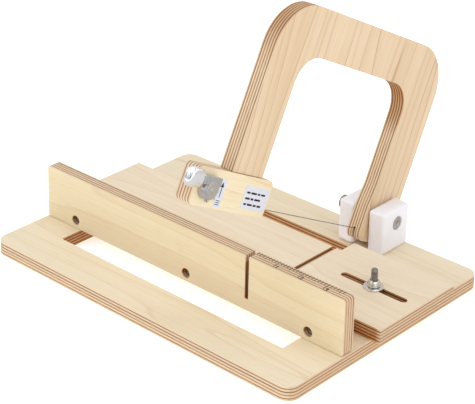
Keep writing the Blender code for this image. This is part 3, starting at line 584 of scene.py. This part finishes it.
def wood_screws():
    """Countersunk screws with a cross recess; the thread's crest stays inside its pilot hole."""
    recess = cross_recess(2.1 * MM, 0.55 * MM, 1.9 * MM)
    made = {}
    for name in [node for node in NODES if "_screw_" in node and not node.startswith("tuner")]:
        low, high = (Vector(corner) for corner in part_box(name))
        along = 1 if name.startswith("fence") else 2
        length = round((high[along] - low[along]) / MM, 1)
        if length not in made:
            stations = millimetres([(0.12, -length, 0), (0.75, 1.8 - length, 0.3), (1.65, 5.5 - length, 1),
                                    (1.65, -0.42 * length, 1), (1.45, -0.38 * length, 0), (1.45, -3.4, 0),
                                    (3.75, -0.7, 0), (3.9, -0.5, 0), (3.9, -0.15, 0), (3.7, 0, 0)])
            shaft = threaded("wood_screw", stations, 1.5 * MM, 0.55 * MM, steps=20, rows_per_turn=7)
            made[length] = cut_with(shaft, recess)
        centre = (low + high) / 2
        centre[along] = low[along]
        turn = ALONG_MINUS_Y if along == 1 else ALONG_MINUS_Z
        heading = Matrix.Rotation(0.7 + 2.1 * centre.x / 0.1, 4, "Z")
        # the fence's screws are dark brown, the others zinc
        material, slot = (DARK_BROWN_STEEL, "dark_steel") if along == 1 else (ZINC, "zinc")
        piece("threaded_" + name, made[length].copy(), material, "frame",
              Matrix.Translation(centre) @ turn @ heading, replaces=(name,))


def hinge_bolt():
    """Socket-head bolt along X, threaded where the nut is."""
    low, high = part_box("hinge_bolt")
    tip, face = low[0] / MM, high[0] / MM
    seat = face - 3.6
    stations = millimetres([(2.3, tip, 0), (2.95, tip + 0.7, 1), (2.95, tip + 19, 1), (2.95, tip + 20.5, 0),
                            (2.95, seat, 0), (5.75, seat, 0), (6.0, seat + 0.25, 0), (6.0, face - 0.9, 0),
                            (5.7, face - 0.3, 0), (5.1, face, 0)])
    shaft = threaded("hinge_bolt_threaded", stations, 1.0 * MM, 0.5 * MM, steps=40)
    socket = cutter(extruded("hex_socket", [polygon(1.9 * MM, 6)], 3.0 * MM))
    socket.location.z = high[0] - 0.5 * MM
    piece("hinge_bolt_threaded", cut_with(shaft, socket), DARK_STEEL, "frame",
          Matrix.Translation((0, HINGE.y, HINGE.z)) @ ALONG_X, replaces=("hinge_bolt",))


def hinge_nut():
    """Lock nut: a hexagon chamfered at both ends, with a domed collar towards the bolt's tip."""
    low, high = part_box("hinge_nut")
    thick = high[0] - low[0]
    radius = 7.6 * MM
    collar = 0.3 * thick
    body = extruded("hinge_lock_nut", [polygon(radius, 6, math.pi / 6)], thick - collar)
    chamfer = turned("nut_chamfer", [(0.89 * radius, -0.01 * MM), (1.01 * radius, 0.09 * radius),
                                     (1.01 * radius, thick - collar - 0.09 * radius),
                                     (0.89 * radius, thick - collar + 0.01 * MM)])
    body = baked(body.name, body,
                 [("BOOLEAN", {"operation": "INTERSECT", "object": cutter(chamfer), "solver": "EXACT"})])
    dome = turned("nut_collar", [(0.84 * radius, thick - collar - 0.5 * MM),
                                 (0.84 * radius, thick - 1.0 * MM),
                                 (0.74 * radius, thick - 0.2 * MM),
                                 (0.62 * radius, thick)])
    bore = cutter(turned("nut_bore", [(3.3 * MM, -MM), (3.3 * MM, thick + MM)]))
    body = baked(body.name, body,
                 [("BOOLEAN", {"operation": "UNION", "object": cutter(dome), "solver": "EXACT"}),
                  ("BOOLEAN", {"operation": "DIFFERENCE", "object": bore, "solver": "EXACT"})])
    smooth(body)
    half_turn = Matrix.Rotation(math.pi, 4, "Z")
    place = Matrix.Translation((high[0], HINGE.y, HINGE.z)) @ half_turn @ ALONG_X
    piece("hinge_lock_nut", body, DULL_ZINC, "frame", place, replaces=("hinge_nut",))


def stop_bolt():
    """Carriage bolt, its head under the bed and its thread up through the wing nut."""
    low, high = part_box("stop_bolt")
    length = (high[2] - low[2]) / MM
    stations = millimetres([(0.3, 0, 0), (4.0, 0.05, 0), (5.5, 0.3, 0), (6.8, 1.2, 0), (7.3, 2.1, 0),
                            (7.3, 3.3, 0), (2.95, 3.4, 0), (2.95, 8.0, 0), (2.95, 8.6, 1),
                            (2.95, length - 0.7, 1), (2.3, length, 0)])
    shaft = threaded("stop_bolt_threaded", stations, 1.0 * MM, 0.5 * MM, steps=32)
    axis = middle_of("stop_washer")
    place = Matrix.Translation((axis.x, axis.y, low[2]))
    piece("stop_bolt_threaded", shaft, DULL_ZINC, "stop", place, replaces=("stop_bolt",))


def wing_nut():
    """Cast wing nut: a hub and two wings blended into one skin, then bored."""
    low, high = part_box("wing_nut")
    axis = middle_of("stop_washer")
    tall = (high[2] - low[2]) / MM
    turn = math.radians(110.0)
    hub = turned("wing_nut_cast", [(5.7 * MM, 0.05 * MM), (5.75 * MM, 1.5 * MM), (4.7 * MM, 4.4 * MM),
                                   (4.2 * MM, 5.2 * MM)], round_by=0.5 * MM)
    build = bmesh.new()
    build.from_mesh(hub)
    for side in (-1, 1):
        centre = Vector((side * 6.9, 0.0, tall - 3.75)) * MM
        stretch = Matrix.Diagonal((3.5 * MM, 1.25 * MM, 3.7 * MM, 1.0))
        lean = Matrix.Rotation(side * math.radians(24.0), 4, "Y")
        bmesh.ops.create_uvsphere(build, u_segments=24, v_segments=14, radius=1.0,
                                  matrix=Matrix.Translation(centre) @ lean @ stretch)
        root = Vector((side * 4.3, 0.0, 2.9)) * MM
        stretch = Matrix.Diagonal((3.4 * MM, 1.3 * MM, 2.6 * MM, 1.0))
        bmesh.ops.create_uvsphere(build, u_segments=24, v_segments=14, radius=1.0,
                                  matrix=Matrix.Translation(root) @ stretch)
    cast = baked("wing_nut_cast", from_bmesh("wing_nut_cast", build),
                 [("REMESH", {"mode": "VOXEL", "voxel_size": 0.32 * MM, "use_smooth_shade": True}),
                  ("SMOOTH", {"factor": 0.5, "iterations": 5})])
    bore = cutter(turned("wing_nut_bore", [(3.3 * MM, -2 * MM), (3.3 * MM, 12 * MM)]))
    cast = cut_with(cast, bore)
    smooth(cast, 50.0)
    place = Matrix.Translation((axis.x, axis.y, low[2])) @ Matrix.Rotation(turn, 4, "Z")
    piece("wing_nut_cast", cast, NICKEL, "wing_nut", place, replaces=("wing_nut",))


# ---- machine head, in the bow's lowered frame --------------------------------------------------
def lowered(name):
    """A joint's place in the bow's lowered frame."""
    return LOWERED.inverted() @ Vector(joint(name)["pos_m"])


def tuner_knob():
    """A chunky oval knob, a little slimmer towards its ends, with its long way up and down."""
    worm = lowered("tuner_worm_turn")
    rear, front = 14.9 * MM, 30.6 * MM
    middle, reach = 22.4 * MM, 9.4 * MM
    half_x, half_z = 5.2 * MM, 8.0 * MM
    taper, squareness = 3.6, 0.84
    build = bmesh.new()
    rings = []
    rows, steps, edge = 22, 56, 1.1 * MM
    for row in range(rows + 1):
        t = row / rows
        z = rear + (front - rear) * (0.5 - 0.5 * math.cos(math.pi * t))
        swell = (1 - abs((z - middle) / reach) ** taper) ** (1 / taper)
        near = min(z - rear, front - z, edge)
        inset = edge - math.sqrt(max(0.0, edge ** 2 - (edge - near) ** 2))
        ring = []
        for step in range(steps):
            angle = 2 * math.pi * step / steps
            c, s = math.cos(angle), math.sin(angle)
            x = math.copysign(abs(c) ** squareness, c) * (half_x * swell - inset)
            y = math.copysign(abs(s) ** squareness, s) * (half_z * swell - inset)
            ring.append(build.verts.new((x, y, z)))
        rings.append(ring)
    skin(build, rings)
    knob = from_bmesh("tuner_knob_cast", build, 40.0)
    seat = cutter(turned("knob_seat", [(3.15 * MM, front - 0.35 * MM), (3.15 * MM, front + MM)]))
    knob = cut_with(knob, seat)
    smooth(knob, 40.0)
    place = LOWERED @ Matrix.Translation(worm) @ ALONG_MINUS_Y
    piece("tuner_knob_cast", knob, LIT_CHROME, "tuner_knob", place, replaces=("tuner_button",))


def tuner_cap():
    """The pressed cap over the gear: a shallow dish with a raised rim and a riveted middle."""
    post = lowered("string_post_turn")
    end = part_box("tuner_housing")[1][0]
    profile = [(7.3 * MM, -0.3 * MM), (7.3 * MM, 0.1 * MM), (7.0 * MM, 0.4 * MM), (6.5 * MM, 0.42 * MM),
               (6.2 * MM, 0.15 * MM), (2.6 * MM, 0.1 * MM), (2.4 * MM, 0.4 * MM), (1.6 * MM, 0.55 * MM),
               (0.2 * MM, 0.6 * MM)]
    piece("tuner_cap", turned("tuner_cap", profile, steps=64, round_by=0.12 * MM), SATIN, "bow",
          LOWERED @ Matrix.Translation((end, post.y, post.z)) @ ALONG_X)


# ---- printed marks -----------------------------------------------------------------------------
def figure(text, size, x, y):
    """The mesh of a printed figure, its lower left corner at (x, y)."""
    half_film = 0.025 * MM
    curve = bpy.data.curves.new("figure_" + text, "FONT")
    curve.body = text
    curve.size = size
    curve.extrude = half_film
    curve.offset = 0.12 * MM
    curve.resolution_u = 4
    obj = bpy.data.objects.new(curve.name, curve)
    bpy.context.scene.collection.objects.link(obj)
    graph = bpy.context.evaluated_depsgraph_get()
    mesh = bpy.data.meshes.new_from_object(obj.evaluated_get(graph))
    bpy.data.objects.remove(obj)
    mesh.transform(Matrix.Translation((x, y, half_film)))
    return mesh


def ruler():
    """Inch ruler printed along the fence's top edge, counted from the wire."""
    low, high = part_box("fence")
    inch, line = 25.4 * MM, 0.62 * MM
    rear = high[1] - 0.6 * MM
    outlines = []
    for eighth in range(1, 30):
        x = eighth * inch / 8
        if x > high[0] - 4 * MM:
            break
        length = 9.8 if eighth % 8 == 0 else 5.4 if eighth % 4 == 0 else 4.0
        outlines.append(bar(x - line / 2, rear - length * MM, x + line / 2, rear))
    on_top = Matrix.Translation((0, 0, high[2]))
    piece("ruler_ticks", extruded("ruler_ticks", outlines, 0.05 * MM), INK, "frame", on_top)
    for number in (1, 2, 3):
        mesh = figure(str(number), 6.8 * MM, number * inch + 1.2 * MM, low[1] + 1.6 * MM)
        piece(f"ruler_figure_{number}", mesh, INK, "frame", on_top)


def block_labels():
    """Two plain plates on the tension block: one with an arrow and ticks, one with rows of bars."""
    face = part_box("tension_block")[1][0]
    film = 0.2 * MM
    on_block = LOWERED @ Matrix.Translation((face, 0, 0)) @ ALONG_X
    on_film = LOWERED @ Matrix.Translation((face + film, 0, 0)) @ ALONG_X
    plates = (("label_narrow", (-244.0, -20.3), (-235.2, 3.0), 1.2),
              ("label_wide", (-209.0, -17.0), (-176.6, 2.0), 1.6))
    for name, low, high, corner in plates:
        outline = rounded_outline([c * MM for c in low], [c * MM for c in high], corner * MM)
        piece(name, extruded(name, [outline], film), LABEL, "bow", on_block)
    middle = -239.6 * MM
    arrow = [bar(middle - 0.5 * MM, -12.0 * MM, middle + 0.5 * MM, -3.5 * MM),
             [(middle - 2.0 * MM, -3.5 * MM), (middle + 2.0 * MM, -3.5 * MM), (middle, 0.6 * MM)]]
    ticks = [bar(middle - 2.4 * MM, (-18.2 + 1.6 * i) * MM, middle + 2.4 * MM, (-17.6 + 1.6 * i) * MM)
             for i in range(3)]
    piece("label_arrow", extruded("label_arrow", arrow + ticks, 0.04 * MM), INK, "bow", on_film)
    rows = ((-3.4, (4.5, 7.5, 3.0, 5.5)), (-8.2, (6.0, 3.5, 8.0)), (-13.0, (3.5, 6.5, 4.0, 5.0)))
    half = 0.8
    bars = []
    for y, lengths in rows:
        x = -206.0
        for length in lengths:
            bars.append(bar(x * MM, (y - half) * MM, (x + length) * MM, (y + half) * MM))
            x += length + 1.4
    piece("label_bars", extruded("label_bars", bars, 0.04 * MM), INK, "bow", on_film)


# ---- floor, light and camera -------------------------------------------------------------------
# how bright the room is to matt and to shiny surfaces: (height, brightness) from below to above
ROOM_LEVELS = ((-1.0, 0.56), (0.0, 0.56), (0.9, 0.68))
MIRROR_LEVELS = ((-1.0, 0.7), (-0.1, 0.66), (0.08, 0.6), (0.3, 1.3), (0.55, 0.6), (0.9, 1.3))


def floor():
    """A pale floor that glows a little, so that it stays near white under soft light."""
    build = bmesh.new()
    bmesh.ops.create_grid(build, x_segments=1, y_segments=1, size=6.0)
    plane = bpy.data.objects.new("floor", from_bmesh("floor", build))
    bpy.context.scene.collection.objects.link(plane)
    plane.location.z = -0.4 * MM
    s = Shader("floor_white")
    speckle = s.noise(s.point(), 40.0)
    tone = s.mix(speckle, colour(246, 246, 246), colour(252, 252, 252))
    mirrored = s.node("ShaderNodeLightPath", output="Is Glossy Ray")
    tone = s.mix(mirrored, tone, (0.50, 0.50, 0.50, 1.0))
    glow = s.span(mirrored, 0.0, 1.0, 0.50, 0.26)
    plane.data.materials.append(s.finish(Base_Color=tone, Roughness=0.9, Emission_Color=(1, 1, 1, 1),
                                         Emission_Strength=glow))


def world():
    """White to the camera; a soft bright room for diffuse light; a banded one for reflections."""
    sky = bpy.data.worlds.new("studio")
    bpy.context.scene.world = sky
    sky.use_nodes = True
    nodes, links = sky.node_tree.nodes, sky.node_tree.links
    direction = nodes.new("ShaderNodeTexCoord")
    split = nodes.new("ShaderNodeSeparateXYZ")
    links.new(direction.outputs["Generated"], split.inputs[0])
    path = nodes.new("ShaderNodeLightPath")

    def by_height(stops):
        ramp = nodes.new("ShaderNodeValToRGB")
        shift = nodes.new("ShaderNodeMapRange")
        shift.inputs["From Min"].default_value = -1.0
        links.new(split.outputs[2], shift.inputs["Value"])
        links.new(shift.outputs[0], ramp.inputs[0])
        elements = ramp.color_ramp.elements
        while len(elements) < len(stops):
            elements.new(0.5)
        for element, (height, level) in zip(elements, stops):
            element.position = (height + 1) / 2
            element.color = (level, level, level, 1.0)
        return ramp.outputs[0]

    def choose(ray, otherwise, value):
        pick = nodes.new("ShaderNodeMix")
        links.new(path.outputs[ray], pick.inputs[0])
        for index, source in ((2, otherwise), (3, value)):
            if isinstance(source, float):
                pick.inputs[index].default_value = source
            else:
                links.new(source, pick.inputs[index])
        return pick.outputs[0]

    room = by_height(ROOM_LEVELS)
    mirrored = by_height(MIRROR_LEVELS)
    strength = choose("Is Camera Ray", choose("Is Glossy Ray", room, mirrored), 1.0)
    nodes["Background"].inputs["Color"].default_value = (1.0, 1.0, 1.0, 1.0)
    links.new(strength, nodes["Background"].inputs["Strength"])


def softbox(name, location, target, size, power):
    data = bpy.data.lights.new(name, "AREA")
    data.shape = "RECTANGLE"
    data.size, data.size_y = size
    data.energy = power
    lamp = bpy.data.objects.new(name, data)
    lamp.location = location
    lamp.rotation_euler = (Vector(target) - Vector(location)).to_track_quat("-Z", "Y").to_euler()
    bpy.context.scene.collection.objects.link(lamp)


def lights():
    middle = (-0.05, -0.1, 0.08)
    softbox("key", (-0.75, -1.25, 1.35), middle, (0.9, 0.7), 5.4)
    softbox("fill", (1.5, -0.5, 0.9), middle, (0.8, 1.0), 4.6)
    softbox("top", (0.0, 0.2, 1.7), middle, (1.0, 0.8), 3.2)


def shift_from_here(eye, channel, amount):
    """Shift the lens only while the camera stands where it is now, so that any other view is centred."""
    driver = eye.data.driver_add(channel).driver
    place = driver.variables.new()
    place.name = "x"
    place.targets[0].id = eye
    place.targets[0].data_path = "location[0]"
    driver.expression = f"{amount} if abs(x - {eye.location.x:.4f}) < 0.001 else 0.0"


def camera():
    """A long lens from the right front, a little above, with the frame shifted off its axis."""
    azimuth, elevation = math.radians(44.94), math.radians(19.83)
    back = Vector((math.sin(azimuth) * math.cos(elevation), -math.cos(azimuth) * math.cos(elevation),
                   math.sin(elevation)))
    data = bpy.data.cameras.new("camera")
    data.sensor_width = 36.0
    data.lens = 128.55
    data.clip_start = 0.05
    eye = bpy.data.objects.new("camera", data)
    eye.location = (0.7949, -1.1079, 0.7373)
    eye.rotation_euler = back.to_track_quat("Z", "Y").to_euler()
    bpy.context.scene.collection.objects.link(eye)
    bpy.context.scene.camera = eye
    shift_from_here(eye, "shift_x", 0.2329)
    shift_from_here(eye, "shift_y", -0.4529)


wooden_pieces()
carried_nodes()
wood_screws()
hinge_bolt()
hinge_nut()
stop_bolt()
wing_nut()
tuner_knob()
tuner_cap()
ruler()
block_labels()
floor()
world()
lights()
camera()
bpy.context.scene.view_settings.view_transform = "Standard"
